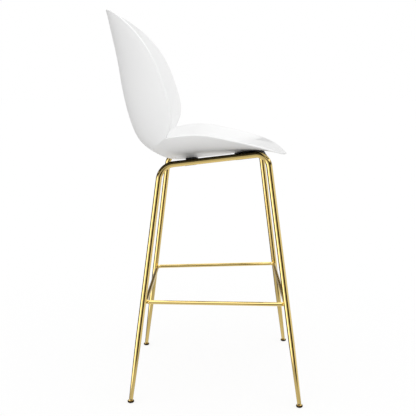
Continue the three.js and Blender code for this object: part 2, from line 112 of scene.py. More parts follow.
# %% Wiring
class Wire:
    """One output. A sum or a product of wires and numbers makes the Math nodes it needs."""

    def __init__(self, wiring, socket):
        self.wiring = wiring
        self.socket = socket

    def maths(self, operation, first, second):
        return self.wiring.add("ShaderNodeMath", {0: first, 1: second}, operation=operation)

    def __add__(self, other):
        return self.maths("ADD", self, other)

    def __radd__(self, other):
        return self.maths("ADD", other, self)

    def __mul__(self, other):
        return self.maths("MULTIPLY", self, other)

    def __rmul__(self, other):
        return self.maths("MULTIPLY", other, self)


class Wiring:
    """The node tree of a material or of the world."""

    def __init__(self, owner):
        owner.use_nodes = True
        self.tree = owner.node_tree
        self.tree.nodes.clear()

    def add(self, kind, sockets=None, output=0, stops=(), **settings):
        node = self.tree.nodes.new(kind)
        for name, value in settings.items():
            setattr(node, name, value)
        if stops:
            self.set_stops(node.color_ramp.elements, stops)
        for name, value in (sockets or {}).items():
            self.feed(self.find(node.inputs, name), value)
        live = [socket for socket in node.outputs if socket.enabled]
        return Wire(self, self.find(live, output)) if live else None

    def set_stops(self, elements, stops):
        """Grey levels along a ramp, as (place, level) pairs between 0 and 1."""
        for place, _ in stops[1:-1]:
            elements.new(place)
        for element, (place, level) in zip(elements, stops):
            element.position = place
            element.color = (level, level, level, 1)

    def find(self, sockets, name):
        if isinstance(name, int):
            return sockets[name]
        return next(socket for socket in sockets if socket.name == name and socket.enabled)

    def feed(self, socket, value):
        if isinstance(value, Wire):
            self.tree.links.new(value.socket, socket)
        elif socket.type == "RGBA":
            socket.default_value = (*value, 1)
        else:
            socket.default_value = value

    def noise(self, place, scale, detail=2.0, roughness=0.5):
        sockets = {"Vector": place, "Scale": scale, "Detail": detail, "Roughness": roughness}
        return self.add("ShaderNodeTexNoise", sockets)

    def stretch(self, place, scale):
        return self.add("ShaderNodeMapping", {"Vector": place, "Scale": scale})

    def blend(self, factor, first, second):
        sockets = {"Factor": factor, "A": first, "B": second}
        return self.add("ShaderNodeMix", sockets, data_type="RGBA")

    def between(self, value, low, high):
        """0 where the value is at `low` or under it, rising to 1 at `high`."""
        sockets = {"Value": value, "From Min": low, "From Max": high}
        return self.add("ShaderNodeMapRange", sockets)

    def bump(self, height, distance):
        sockets = {"Height": height, "Distance": distance, "Strength": 1.0}
        return self.add("ShaderNodeBump", sockets)

    def ray(self, kind):
        """1 for rays of one kind, such as those of the camera."""
        return self.add("ShaderNodeLightPath", output=f"Is {kind} Ray")

    def mix(self, factor, first, second):
        return self.add("ShaderNodeMixShader", {0: factor, 1: first, 2: second})


def finish_material(wiring, sockets):
    """Ends a material in one Principled BSDF."""
    surface = wiring.add("ShaderNodeBsdfPrincipled", sockets)
    wiring.add("ShaderNodeOutputMaterial", {"Surface": surface})


print("wiring ready")

# %% [markdown]
# ## White moulded plastic
# Glass-filled plastic from a polished mould is white all through, with a soft sheen and no gloss.
# Up close it has a fine, even grain from the mould, and across a palm's width it sways a little,
# because the wall shrinks as it cools. Both are bumps here. A third noise lets the roughness and
# the white drift a little, which breaks up the sheen.

# %% Shell plastic
PLASTIC_WHITE = (0.84, 0.84, 0.838)
PLASTIC_SHADE = (0.815, 0.817, 0.818)
GRAIN_PER_METRE = 900
GRAIN_HEIGHT = 0.02 * MM
SWAY_PER_METRE = 9
SWAY_HEIGHT = 0.35 * MM
DRIFT_PER_METRE = 14
SHELL_ROUGHNESS = 0.36
SHELL_DRIFT = 0.12
SHELL_SPECULAR = 0.3


def make_shell_plastic():
    material = bpy.data.materials.new("shell_plastic")
    wiring = Wiring(material)
    place = wiring.add("ShaderNodeTexCoord", output="Object")
    drift = wiring.noise(place, DRIFT_PER_METRE, detail=3)
    grain = wiring.noise(place, GRAIN_PER_METRE, detail=1)
    sway = wiring.noise(place, SWAY_PER_METRE, detail=1)
    height = grain * GRAIN_HEIGHT + sway * SWAY_HEIGHT
    finish_material(wiring, {
        "Base Color": wiring.blend(drift, PLASTIC_WHITE, PLASTIC_SHADE),
        "Roughness": SHELL_ROUGHNESS + SHELL_DRIFT * drift,
        "Specular IOR Level": SHELL_SPECULAR,
        "Normal": wiring.bump(height, 1.0),
    })
    return material


shell_plastic = make_shell_plastic()
print("made", shell_plastic.name)

# %% [markdown]
# ## Polished brass plate
# The frame is steel tube, drawn through a die, polished along its length and plated. Real polish
# is never even: fine lines run along the tube, and the gloss drifts from place to place. Each
# tube made below remembers, in an attribute called `stock`, where each of its points was before
# the tube was bent. Noise that is stretched along `stock` follows every bend. Turned pieces have no
# such lines. The glide caps carry painted shade: below their top they are painted dark brown, for
# the shade and the dark reflections on their lower sides.

# %% Brass plate
BRASS_LIGHT = (0.8, 0.62, 0.25)
BRASS_DEEP = (0.75, 0.56, 0.2)
LINES_PER_METRE = 1400
LINE_STRETCH = 0.012
LINE_HEIGHT = 0.006 * MM
CLOUDS_PER_METRE = 24
BRASS_ROUGHNESS = 0.03
CLOUD_ROUGHNESS = 0.05
LINE_ROUGHNESS = 0.04
# Painted shade on the glide caps: they are painted this dark brown below a height, for their shaded
# lower sides.
CAP_PAINTED_SHADE = (0.035, 0.02, 0.007)
CAP_SHADE_TOP = 8.2 * MM
CAP_SHADE_FADE = 1 * MM


def make_brass_plate(name, follows_stock=False, painted_shade=False):
    material = bpy.data.materials.new(name)
    wiring = Wiring(material)
    if follows_stock:
        place = wiring.add("ShaderNodeAttribute", output="Vector", attribute_name="stock")
    else:
        place = wiring.add("ShaderNodeTexCoord", output="Object")
    along = wiring.stretch(place, (1, 1, LINE_STRETCH if follows_stock else 1))
    lines = wiring.noise(along, LINES_PER_METRE, detail=2)
    cloud = wiring.noise(place, CLOUDS_PER_METRE, detail=4, roughness=0.6)
    colour = wiring.blend(cloud, BRASS_LIGHT, BRASS_DEEP)
    # Painted shade: below a height the cap is painted dark brown, for the shade and dark reflections
    # on its lower sides.
    if painted_shade:
        height = wiring.add("ShaderNodeSeparateXYZ", {"Vector": place}, output="Z")
        unshaded = wiring.between(height, CAP_SHADE_TOP - CAP_SHADE_FADE, CAP_SHADE_TOP)
        colour = wiring.blend(unshaded, CAP_PAINTED_SHADE, colour)
    finish_material(wiring, {
        "Base Color": colour,
        "Metallic": 1.0,
        "Roughness": BRASS_ROUGHNESS + CLOUD_ROUGHNESS * cloud + LINE_ROUGHNESS * lines,
        "Normal": wiring.bump(lines, LINE_HEIGHT),
    })
    return material


tube_brass = make_brass_plate("tube_brass", follows_stock=True)
turned_brass = make_brass_plate("turned_brass")
cap_brass = make_brass_plate("cap_brass", painted_shade=True)
print("made", tube_brass.name, turned_brass.name, cap_brass.name)

# %% [markdown]
# ## The dark and hidden finishes
# Powder coat flows as it bakes and sets like orange peel. Rubber is matt and slightly dusty. Zinc
# plate is a bright grey metal with a faint bloom. One function makes them and the plain brass of
# the inserts, because they differ only in colour, grain and how far the roughness swings.

# %% Dark and hidden finishes
PATCHES_PER_METRE = 30


def make_grained(name, light, deep, grain_per_metre, grain_height, roughness, metallic=0.0):
    material = bpy.data.materials.new(name)
    wiring = Wiring(material)
    place = wiring.add("ShaderNodeTexCoord", output="Object")
    grain = wiring.noise(place, grain_per_metre, detail=2)
    cloud = wiring.noise(place, PATCHES_PER_METRE, detail=4, roughness=0.6)
    low, high = roughness
    finish_material(wiring, {
        "Base Color": wiring.blend(cloud, light, deep),
        "Metallic": metallic,
        "Roughness": low + (high - low) * cloud,
        "Normal": wiring.bump(grain, grain_height),
    })
    return material


black_coat = make_grained(
    "black_coat", (0.016, 0.016, 0.017), (0.009, 0.009, 0.01), 700, 0.05 * MM, (0.32, 0.5))
black_rubber = make_grained(
    "black_rubber", (0.022, 0.021, 0.02), (0.012, 0.012, 0.012), 2600, 0.03 * MM, (0.7, 0.9))
zinc_plate = make_grained(
    "zinc_plate", (0.62, 0.63, 0.65), (0.48, 0.5, 0.53), 1800, 0.01 * MM, (0.22, 0.4), 1.0)
insert_brass = make_grained(
    "insert_brass", (0.72, 0.55, 0.24), (0.6, 0.42, 0.16), 2200, 0.02 * MM, (0.25, 0.42), 1.0)
print("made", black_coat.name, black_rubber.name, zinc_plate.name, insert_brass.name)

# %% [markdown]
# ## Finishing a piece
# Every new piece ends the same way: its faces are made smooth, its mesh becomes an object at the
# origin, it gets its material and its material slot, it rides on a body, and it stands for the
# CAD nodes that it replaces. The places are in the mesh, so the object is never moved.

# %% Finish a piece
MATERIALS = {
    "shell_plastic": shell_plastic,
    "brass_plate": tube_brass,
    "black_steel": black_coat,
    "black_rubber": black_rubber,
    "zinc_steel": zinc_plate,
    "insert_brass": insert_brass,
}


def make_object(name, mesh, material):
    data = bpy.data.meshes.new(name)
    mesh.to_mesh(data)
    mesh.free()
    data.materials.append(material)
    made = bpy.data.objects.new(name, data)
    bpy.context.scene.collection.objects.link(made)
    return made


def finish_piece(name, mesh, slot, replaces=(), body="stool", material=None):
    for face in mesh.faces:
        face.smooth = True
    piece = make_object(name, mesh, material or MATERIALS[slot])
    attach(piece, body)
    if replaces:
        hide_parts(*replaces)
    print(name, len(piece.data.vertices), "points")
    return piece


print("ready to finish pieces")

# %% [markdown]
# ## The seat shell's form
# The shell is one sheet that bends two ways. Think of a row of cross-sections from the top of the
# back, down through the seat, to the front edge. Each is an arc. Its middle lies on the spine
# and its ends on the rim, so two curves in space say it all. The numbers are shares of the shell's
# own sizes. At the notch the two lobes meet, and the rim has a corner there.

# %% Shell sizes and stations
SHELL_WALL = 5.5 * MM
SEAT_HEIGHT = 720 * MM
SHELL_HEIGHT = 458 * MM
SIDE_RISE = 89 * MM
SEAT_REACH = 258 * MM
BACK_REACH = 294 * MM
BACK_HALF_WIDTH = 262 * MM
SEAT_HALF_WIDTH = 257 * MM
NOTCH_HALF_WIDTH = 226 * MM
WRAP = 1.02

BACK_STATIONS = [  # (spine y, spine height), (rim half width, rim y, rim height)
    ((1, 1), (0, 1, 1)),
    ((0.98, 0.95), (0.378, 0.939, 0.984)),
    ((0.951, 0.843), (0.687, 0.793, 0.91)),
    ((0.91, 0.683), (0.889, 0.612, 0.778)),
    ((0.871, 0.489), (0.977, 0.449, 0.586)),
    ((0.828, 0.274), (1, 0.344, 0.364)),
    ((0.721, 0), (0.973, 0.296, 0.156)),
]
NOTCH_STATION = ((0.565, 0.348), (1, 0.371, 0.888))
SEAT_STATIONS = [
    ((0.395, 0), (0.957, 0.233, 0.978)),
    ((0.085, 0.051), (0.988, -0.012, 1)),
    ((-0.264, 0.165), (1, -0.283, 0.854)),
    ((-0.582, 0.328), (0.957, -0.589, 0.64)),
    ((-0.822, 0.348), (0.774, -0.864, 0.371)),
    ((-0.955, 0.21), (0.409, -0.965, 0.236)),
    ((-1, 0.14), (0, -1, 0.14)),
]
rear_glide = next(joint for joint in frame["joints"] if joint["name"] == "rear_right_glide_tilt")
REAR_FOOT_Y = 225 * MM
plan_middle = rear_glide["pos_m"][1] - REAR_FOOT_Y
print("the plan's middle is at y", round(plan_middle / MM, 2), "mm")


def scaled(station, width, reach, base, rise):
    (spine_y, spine_z), (rim_x, rim_y, rim_z) = station
    y, z = (plan_middle + reach * spine_y, base + rise * spine_z)
    return (y, z, width * rim_x, plan_middle + reach * rim_y, base + rise * rim_z)


notch = scaled(NOTCH_STATION, NOTCH_HALF_WIDTH, BACK_REACH, SEAT_HEIGHT, SIDE_RISE)
back_rise = SEAT_HEIGHT + SHELL_HEIGHT - notch[4]
back_row = [scaled(s, BACK_HALF_WIDTH, BACK_REACH, notch[4], back_rise) for s in BACK_STATIONS]
seat_row = [scaled(s, SEAT_HALF_WIDTH, SEAT_REACH, SEAT_HEIGHT, SIDE_RISE) for s in SEAT_STATIONS]
CREASE = len(back_row)
LAST = CREASE + len(seat_row)
print("stations", LAST + 1, "with the notch at", CREASE)

# %% [markdown]
# A spline joins the stations. The top and the front edge lie on the stool's middle plane, where the
# curves run on as their own mirror image, so the ends are given a parity: 1 for a value that
# mirrors, -1 for one that changes sign, and 0 where the curve just stops.

# %% Splines through the stations
def spline_through(values, start_parity, end_parity):
    count = len(values)
    weights = np.zeros((count, count))
    for i in range(count):
        weights[i, i] = 4
        if 0 < i:
            weights[i, i - 1] += 1
        if i < count - 1:
            weights[i, i + 1] += 1
    for end, beside, parity in ((0, 1, start_parity), (count - 1, count - 2, end_parity)):
        weights[end, beside] += parity or -1
        weights[end, end] += 0 if parity else 2
    control = np.linalg.solve(weights / 6, np.array(values, float))
    before = start_parity * control[1] if start_parity else 2 * control[0] - control[1]
    after = end_parity * control[-2] if end_parity else 2 * control[-1] - control[-2]
    padded = [before, *control, after]

    def curve(t):
        i = min(max(math.floor(t), 0), count - 2)
        f = t - i
        g = 1 - f
        near = 3 * f**3 - 6 * f**2 + 4
        far = 3 * g**3 - 6 * g**2 + 4
        shares = (g**3, near, far, f**3)
        return sum(share * value for share, value in zip(shares, padded[i:i + 4])) / 6

    return curve


def columns(rows, parities):
    """A curve for each of the chosen columns, with its parity at the start and at the end."""
    return [spline_through([row[k] for row in rows], *ends) for k, ends in parities.items()]


spine_y, spine_z = columns([*back_row, notch, *seat_row], {0: (1, 1), 1: (1, 1)})
back_rim = columns([*back_row, notch], {2: (-1, 0), 3: (1, 0), 4: (1, 0)})
seat_rim = columns([notch, *seat_row], {2: (0, -1), 3: (0, 1), 4: (0, 1)})


def rim(t):
    """(half width, y, height) of the rim at station t."""
    if t < CREASE:
        return [curve(t) for curve in back_rim]
    return [curve(t - CREASE) for curve in seat_rim]


def shell_point(t, x):
    """The shell's outside at station t, x from the middle plane. A section bends like an arc."""
    width, rim_y, rim_z = rim(t)
    y, z = spine_y(t), spine_z(t)
    bend = math.asin(max(-1.0, min(1.0, x / width * math.sin(WRAP))))
    share = (1 - math.cos(bend)) / (1 - math.cos(WRAP))
    return Vector((x, y + (rim_y - y) * share, z + (rim_z - z) * share))


print("notch at", [round(v / MM, 1) for v in shell_point(CREASE, NOTCH_HALF_WIDTH)])

# %% [markdown]
# ## The seat shell
# A square grid is pressed into a disc, so that the sheet is all four-sided faces with no pole, and
# each point of the disc has its place on the form. The middle row of the grid runs from notch to
# notch and is the crease. One more ring of faces carries the sheet out by half its wall. Solidify
# gives it the wall, towards the sitter. Subdivision then rounds the rim, while a crease weight
# that fades from the notch keeps the fold sharp only where it is deep. The rounded rim would stand
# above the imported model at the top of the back, so the tip settles by that much. `TIP` keeps the
# grid that share of a station away from the two ends, where the rim has no width.

# %% Seat shell
GRID = 44
CREASE_WEIGHT = 0.9
CREASE_FADE = 0.42
TIP = 0.02
SETTLE = Vector((0, -1.2 * MM, -2.7 * MM))
SETTLE_DEPTH = 70 * MM


def disc_to_shell(u, v):
    a, b = u * math.sqrt(1 - v * v / 2), v * math.sqrt(1 - u * u / 2)
    out, angle = math.hypot(a, b), math.atan2(b, abs(a))
    turn = angle / (math.pi / 2)
    share = (1 - out**4) * math.sin(angle) + out**4 * turn
    t = min(max(CREASE * (1 - out * share), TIP), LAST - TIP)
    return shell_point(t, math.copysign(out * rim(CREASE * (1 - turn))[0], a))


def points_of(made):
    """The new points among what an operator made."""
    return [item for item in made if isinstance(item, bmesh.types.BMVert)]


def neighbour(point, among):
    ends = (edge.other_vert(point) for edge in point.link_edges)
    return next(end for end in ends if end in among)


def inside_of(point):
    """The middle of the corners beside a rim point that aren't on the rim."""
    inner = {corner for face in point.link_faces for corner in face.verts if not corner.is_boundary}
    return sum((corner.co for corner in inner), Vector()) / len(inner)


def widen_rim(mesh, distance):
    edges = [edge for edge in mesh.edges if edge.is_boundary]
    outward = {}
    for point in {corner for edge in edges for corner in edge.verts}:
        beside = [edge.other_vert(point).co for edge in point.link_edges if edge.is_boundary]
        along = (beside[0] - beside[1]).normalized()
        out = point.co - inside_of(point)
        outward[point] = (out - along * out.dot(along)).normalized()
    made = bmesh.ops.extrude_edge_only(mesh, edges=edges)["geom"]
    moves = {}
    for point in points_of(made):
        moves[point] = outward[neighbour(point, outward)] * distance
    for point, move in moves.items():
        point.co += move


def settle_tip(mesh):
    top = max(point.co.z for point in mesh.verts)
    for point in mesh.verts:
        nearness = max(0, 1 - (top - point.co.z) / SETTLE_DEPTH)
        point.co += SETTLE * nearness**2


shell = bmesh.new()
bmesh.ops.create_grid(shell, x_segments=GRID, y_segments=GRID, size=1)
weight = shell.edges.layers.float.new("crease_edge")
for edge in shell.edges:
    on_crease = all(abs(point.co.y) < 1e-6 for point in edge.verts)
    out = sum(abs(point.co.x) for point in edge.verts) / 2
    edge[weight] = CREASE_WEIGHT * max(0, (out - 1 + CREASE_FADE) / CREASE_FADE) if on_crease else 0
for point in shell.verts:
    point.co = disc_to_shell(point.co.x, point.co.y)
widen_rim(shell, SHELL_WALL / 2)
settle_tip(shell)
bmesh.ops.recalc_face_normals(shell, faces=shell.faces)
middle_face = min(shell.faces, key=lambda face: face.calc_center_median().z)
if middle_face.normal.z > 0:
    bmesh.ops.reverse_faces(shell, faces=shell.faces)
outside = BVHTree.FromBMesh(shell)
seat_shell = finish_piece("moulded_shell", shell, "shell_plastic", ["seat_shell"])
wall = seat_shell.modifiers.new("wall", "SOLIDIFY")
wall.thickness = SHELL_WALL
wall.offset = -1
wall.use_even_offset = True
rounding = seat_shell.modifiers.new("rounding", "SUBSURF")
rounding.levels = 2
rounding.render_levels = 2
print("its wall and its rounding are modifiers")

# %% [markdown]
# ## Small turned pieces
# Screws, glides, inserts and plugs are lathe work, so each one is a profile turned round an axis.
# Profiles here are in millimetres, as a turner would write them. A sharp corner stays sharp: every
# edge that turns more than `SHARP` degrees is kept out of the smooth shading.

# %% Turned pieces
SHARP = 32


def arc(centre, radius, start, stop, steps=5):
    """Points of a round corner in a profile, from one angle to another in degrees."""
    angles = [math.radians(start + (stop - start) * i / steps) for i in range(steps + 1)]
    return [(centre[0] + radius * math.cos(a), centre[1] + radius * math.sin(a)) for a in angles]


def turned(profile, segments=48):
    """A profile of (radius, height) in mm, spun once round Z, with its poles closed."""
    mesh = bmesh.new()
    points = [mesh.verts.new((radius * MM, 0, height * MM)) for radius, height in profile]
    edges = [mesh.edges.new(pair) for pair in zip(points, points[1:])]
    bmesh.ops.spin(
        mesh, geom=[*points, *edges], cent=(0, 0, 0), axis=(0, 0, 1), dvec=(0, 0, 0),
        angle=math.tau, steps=segments, use_merge=True, use_duplicate=False)
    bmesh.ops.remove_doubles(mesh, verts=mesh.verts, dist=1e-7)
    bmesh.ops.recalc_face_normals(mesh, faces=mesh.faces)
    return mesh


def stand(mesh, place, up=Vector((0, 0, 1))):
    turn = up.to_track_quat("Z", "Y").to_matrix().to_4x4()
    bmesh.ops.transform(mesh, matrix=Matrix.Translation(place) @ turn, verts=mesh.verts)


def keep_sharp(mesh):
    for edge in mesh.edges:
        if len(edge.link_faces) == 2 and edge.calc_face_angle() > math.radians(SHARP):
            edge.smooth = False


print("lathe ready")

# %% [markdown]
# ## The plane of the seat fixings
# The shell is screwed down at four places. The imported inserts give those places, and the four of
# them lie in one plane that rises to the front with the rails. `feet` are where the screws
# come up out of the cross members, and each stack of pieces is measured up from there.

# %% Seat plane
SIDES = ("left", "right")
ENDS = ("rear", "front")
CORNERS = [(end, side) for end in ENDS for side in SIDES]
SIGN = {"left": -1, "right": 1}
GAP = 0.3
SPACER_FLOOR = 1.8
INSERT_LENGTH = 7.5
BOSS_FOOT = SPACER_FLOOR + 2 * GAP
INSERT_FOOT = BOSS_FOOT + GAP


def middle_of(node):
    low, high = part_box(node)
    return (low + high) / 2


inserts = {(end, side): middle_of(f"{end}_{side}_insert") for end, side in CORNERS}
seat_back = (inserts["rear", "right"] - inserts["front", "right"]).normalized()
seat_up = Vector((1, 0, 0)).cross(seat_back).normalized()
foot_below_insert = (INSERT_FOOT + INSERT_LENGTH / 2) * MM
feet = {corner: place - seat_up * foot_below_insert for corner, place in inserts.items()}
print("the seat plane leans", round(math.degrees(math.asin(seat_up.y)), 1), "degrees")

# %% [markdown]
# ## Screw bosses
# Four bosses stand down from the shell and hold the brass inserts. Each is turned, and only its top
# is hard, because it ends on a curved sheet. A ray from each point of its top ring finds the
# sheet, and the ring is sunk a little into the wall.

# %% Bosses
BOSS_RADIUS = 12
BOSS_BORE = 4.8
BOSS_BORE_DEPTH = 8.3
BOSS_EDGE = 0.8
SINK = 1.5
TOP = 100


def up_to_shell(place, above=0.0):
    """The place straight up on the shell's outside, or some way above it, in mm."""
    return outside.ray_cast(place, seat_up)[0] + seat_up * above * MM


def make_boss(end, side):
    mesh = turned([
        (0, BOSS_BORE_DEPTH), (BOSS_BORE, BOSS_BORE_DEPTH), (BOSS_BORE, 0),
        *arc((BOSS_RADIUS - BOSS_EDGE, BOSS_EDGE), BOSS_EDGE, -90, 0), (BOSS_RADIUS, TOP), (0, TOP),
    ], 64)
    top = [point for point in mesh.verts if point.co.z > 0.9 * TOP * MM]
    for point in top:
        point.co.z = 0
    stand(mesh, feet[end, side] + seat_up * BOSS_FOOT * MM, seat_up)
    for point in top:
        point.co = up_to_shell(point.co, SINK)
    keep_sharp(mesh)
    finish_piece(f"{end}_{side}_boss", mesh, "shell_plastic")


for corner in CORNERS:
    make_boss(*corner)

# %% [markdown]
# ## Spacer blocks
# A black moulded block fills the room between a cross member and the shell. It is drawn as one
# loop that is pulled on and on: up the outside, over the top, which follows the shell, down the
# socket that holds the boss, and through the screw hole to where it began. The outside is a
# squircle, which is a rounded rectangle with a formula.

# %% Spacer blocks
BLOCK = (13.5, 16.5)
BLOCK_SQUARENESS = 8
BLOCK_EDGE = 0.6
BLOCK_SIDES = 96
SHANK = 6


def squircle(angle, inset):
    half_x, half_y = BLOCK[0] - inset, BLOCK[1] - inset
    across = abs(math.cos(angle) / half_x) ** BLOCK_SQUARENESS
    along = abs(math.sin(angle) / half_y) ** BLOCK_SQUARENESS
    return (across + along) ** (-1 / BLOCK_SQUARENESS)


def edges_among(points):
    members = set(points)
    touching = {edge for point in members for edge in point.link_edges}
    return [edge for edge in touching if members.issuperset(edge.verts)]


def block_rings():
    """(reach at an angle, height or None for the shell, height over that) for each ring."""
    socket, hole = BOSS_RADIUS + GAP, SHANK / 2 + 2 * GAP
    turns = np.linspace(0, math.pi / 2, 4)
    rounds = [(BLOCK_EDGE * (1 - math.sin(a)), BLOCK_EDGE * (1 - math.cos(a))) for a in turns]
    walls = [(lambda a, inset=inset: squircle(a, inset), height) for inset, height in rounds]
    rings = [(reach, 0, height) for reach, height in walls]
    rings += [(reach, None, -GAP - height) for reach, height in walls[::-1]]
    rings += [(lambda a: socket, None, -GAP), (lambda a: socket, 0, SPACER_FLOOR)]
    return rings + [(lambda a: hole, 0, SPACER_FLOOR), (lambda a: hole, 0, 0), rings[0]]


def make_spacer(end, side):
    foot = feet[end, side] + seat_up * GAP * MM
    mesh = bmesh.new()
    ring = bmesh.ops.create_circle(mesh, segments=BLOCK_SIDES, radius=1)["verts"]
    angles = {point: math.atan2(point.co.y, point.co.x) for point in ring}
    for reach, base, height in block_rings():
        made = bmesh.ops.extrude_edge_only(mesh, edges=edges_among(angles))["geom"]
        fresh = {}
        for point in points_of(made):
            angle = fresh[point] = angles[neighbour(point, angles)]
            out = Vector((math.cos(angle), 0, 0)) + seat_back * math.sin(angle)
            place = foot + out * reach(angle) * MM
            point.co = up_to_shell(place, height) if base is None else place + seat_up * height * MM
        angles = fresh
    bmesh.ops.delete(mesh, geom=ring, context="VERTS")
    bmesh.ops.remove_doubles(mesh, verts=mesh.verts, dist=1e-6)
    bmesh.ops.recalc_face_normals(mesh, faces=mesh.faces)
    keep_sharp(mesh)
    finish_piece(f"{end}_{side}_block", mesh, "black_rubber", [f"{end}_{side}_spacer_pad"])


for corner in CORNERS:
    make_spacer(*corner)

# %% [markdown]
# ## Drawing a tube
# A tube is drawn the way a bender feeds it: a ring of points is pushed straight on, or swung round
# the middle of a bend. `push` can also change the radius, for a swaged leg or a rounded lip. The
# `stock` layer keeps each point's place in the straight tube, for the polish lines.

# %% Tube tool
class Tube:
    """Draws a tube ring by ring. Each new ring is the last one, extruded and moved."""

    def __init__(self, centre, heading, radius, sides, capped=True):
        self.mesh = bmesh.new()
        self.stock = self.mesh.verts.layers.float_vector.new("stock")
        self.centre = centre
        self.heading = heading
        self.radius = radius
        turn = heading.to_track_quat("Z", "Y").to_matrix().to_4x4()
        place = Matrix.Translation(centre) @ turn
        made = bmesh.ops.create_circle(
            self.mesh, cap_ends=capped, segments=sides, radius=radius, matrix=place)
        self.ring = made["verts"]
        for point in self.ring:
            point[self.stock] = place.inverted() @ point.co

    def rim(self):
        return edges_among(self.ring)

    def take(self, made, distance):
        self.ring = points_of(made)
        for point in self.ring:
            point[self.stock] = point[self.stock] + Vector((0, 0, abs(distance)))

    def push(self, distance, radius=None):
        made = bmesh.ops.extrude_edge_only(self.mesh, edges=self.rim())["geom"]
        self.take(made, distance)
        bmesh.ops.translate(self.mesh, verts=self.ring, vec=self.heading * distance)
        self.centre = self.centre + self.heading * distance
        if radius is not None:
            middle = Matrix.Translation(-self.centre)
            factor = radius / self.radius
            bmesh.ops.scale(self.mesh, verts=self.ring, vec=(factor, factor, factor), space=middle)
            self.radius = radius

    def bend(self, heading, radius, steps):
        axis = self.heading.cross(heading).normalized()
        angle = self.heading.angle(heading)
        middle = self.centre + axis.cross(self.heading) * radius
        for _ in range(steps):
            made = bmesh.ops.spin(
                self.mesh, geom=[*self.ring, *self.rim()], cent=middle, axis=axis, dvec=(0, 0, 0),
                angle=angle / steps, steps=1, use_merge=False, use_duplicate=False)["geom_last"]
            self.take(made, angle / steps * radius)
        self.centre = middle + Quaternion(axis, angle) @ (self.centre - middle)
        self.heading = heading

    def finish(self):
        bmesh.ops.recalc_face_normals(self.mesh, faces=self.mesh.faces)
        return self.mesh


print("tube tool ready")

# %% [markdown]
# ## Where the frame goes
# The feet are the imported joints: each glide tilts about a ball, and a leg points from that ball to
# the corner of its rail. The rails lie in the seat's plane, so their heights come from `feet`.

# %% Places in the frame
RAIL = {"rear": (180 * MM, 123 * MM), "front": (204 * MM, -191 * MM)}
RAIL_ABOVE_STEEL = 6.5

plane_point = feet["rear", "right"] + seat_up * RAIL_ABOVE_STEEL * MM
balls = {}
for joint in frame["joints"]:
    end, side = joint["name"].split("_")[:2]
    balls[end, side] = Vector(joint["pos_m"])


def rail_corner(end, side):
    x, y = RAIL[end]
    y += plan_middle
    height = plane_point.z - (y - plane_point.y) * seat_up.y / seat_up.z
    return Vector((SIGN[side] * x, y, height))


def rail(side):
    return [rail_corner(end, side) for end in ENDS]


def leg_up(end, side):
    return (rail_corner(end, side) - balls[end, side]).normalized()


for end in ENDS:
    print(end, "rail corner", [round(v / MM, 1) for v in rail_corner(end, "right")])

# %% [markdown]
# ## The side hoops
# One tube makes a rear leg, a rail and a front leg. Each is drawn from inside its rear foot: down
# the bore, round the lip, up the swaged leg, along the rail and down again. The legs are swaged
# thinner towards the floor, which is why they look light.

# %% Side hoops
TUBE_RADIUS = 9 * MM
TIP_RADIUS = 6.2 * MM
TUBE_WALL = 1.8 * MM
SWAGE_LENGTH = 185 * MM
LEG_END = 4.6 * MM
BORE_DEPTH = 27 * MM
LIP = 0.5 * MM
BENDS = {"rear": 50 * MM, "front": 38 * MM}
TUBE_SIDES = 48
BEND_STEPS = 24

bore_radius = TIP_RADIUS - TUBE_WALL
lip = [(BORE_DEPTH, bore_radius), (LIP, bore_radius), (0.3 * LIP, bore_radius + 0.3 * LIP)]
lip += [(0, bore_radius + LIP), (0, TIP_RADIUS - LIP)]
lip += [(0.3 * LIP, TIP_RADIUS - 0.3 * LIP), (LIP, TIP_RADIUS)]


def make_hoop(side):
    rear, front = rail(side)
    rear_up, front_up = (leg_up(end, side) for end in ENDS)
    forward = (front - rear).normalized()
    rear_trim = BENDS["rear"] * math.tan(rear_up.angle(forward) / 2)
    front_trim = BENDS["front"] * math.tan(forward.angle(-front_up) / 2)
    rear_leg = (rear - balls["rear", side]).length - LEG_END
    front_leg = (front - balls["front", side]).length - LEG_END
    start = balls["rear", side] + rear_up * (LEG_END + BORE_DEPTH)
    tube = Tube(start, rear_up, bore_radius, TUBE_SIDES)
    for (height, _), (next_height, radius) in zip(lip, lip[1:]):
        tube.push(next_height - height, radius)
    tube.push(SWAGE_LENGTH - LIP, TUBE_RADIUS)
    tube.push(rear_leg - SWAGE_LENGTH - rear_trim)
    tube.bend(forward, BENDS["rear"], BEND_STEPS)
    tube.push((front - rear).length - rear_trim - front_trim)
    tube.bend(-front_up, BENDS["front"], BEND_STEPS)
    tube.push(front_leg - SWAGE_LENGTH - front_trim)
    tube.push(SWAGE_LENGTH - LIP, TIP_RADIUS)
    back = lip[::-1]
    for (height, _), (next_height, radius) in zip(back, back[1:]):
        tube.push(height - next_height, radius)
    bmesh.ops.contextual_create(tube.mesh, geom=tube.rim())
    finish_piece(f"{side}_hoop", tube.finish(), "brass_plate", [f"{side}_side_hoop"])


for side in SIDES:
    make_hoop(side)

# %% [markdown]
# ## The footrest
# A rod is bent into a ring with four tight corners. Each corner stands against the inside of a leg,
# where it is brazed, so the corners' places follow from the legs: start on a leg's centre line at
# the footrest's height and step inwards by both radii and the radius of the bend.

# %% Footrest ring
FOOTREST_HEIGHT = 308 * MM
ROD_RADIUS = 6 * MM
ROD_BEND = 14 * MM
TOUCH = {"rear": math.radians(42), "front": math.radians(55)}
AROUND = [("rear", "right"), ("front", "right"), ("front", "left"), ("rear", "left")]


def leg_at(end, side, height):
    up = leg_up(end, side)
    return balls[end, side] + up * (height - balls[end, side].z) / up.z


def facing(end, side):
    """The way from the ring's corner out to its leg."""
    across = SIGN[side] * math.sin(TOUCH[end])
    return Vector((across, math.cos(TOUCH[end]) * (1 if end == "rear" else -1), 0))


def corner_centre(end, side):
    out = facing(end, side)
    lean = out.dot(leg_up(end, side))
    reach = (TUBE_RADIUS + ROD_RADIUS + GAP * MM) / math.sqrt(1 - lean * lean)
    return leg_at(end, side, FOOTREST_HEIGHT) - out * (ROD_BEND + reach)


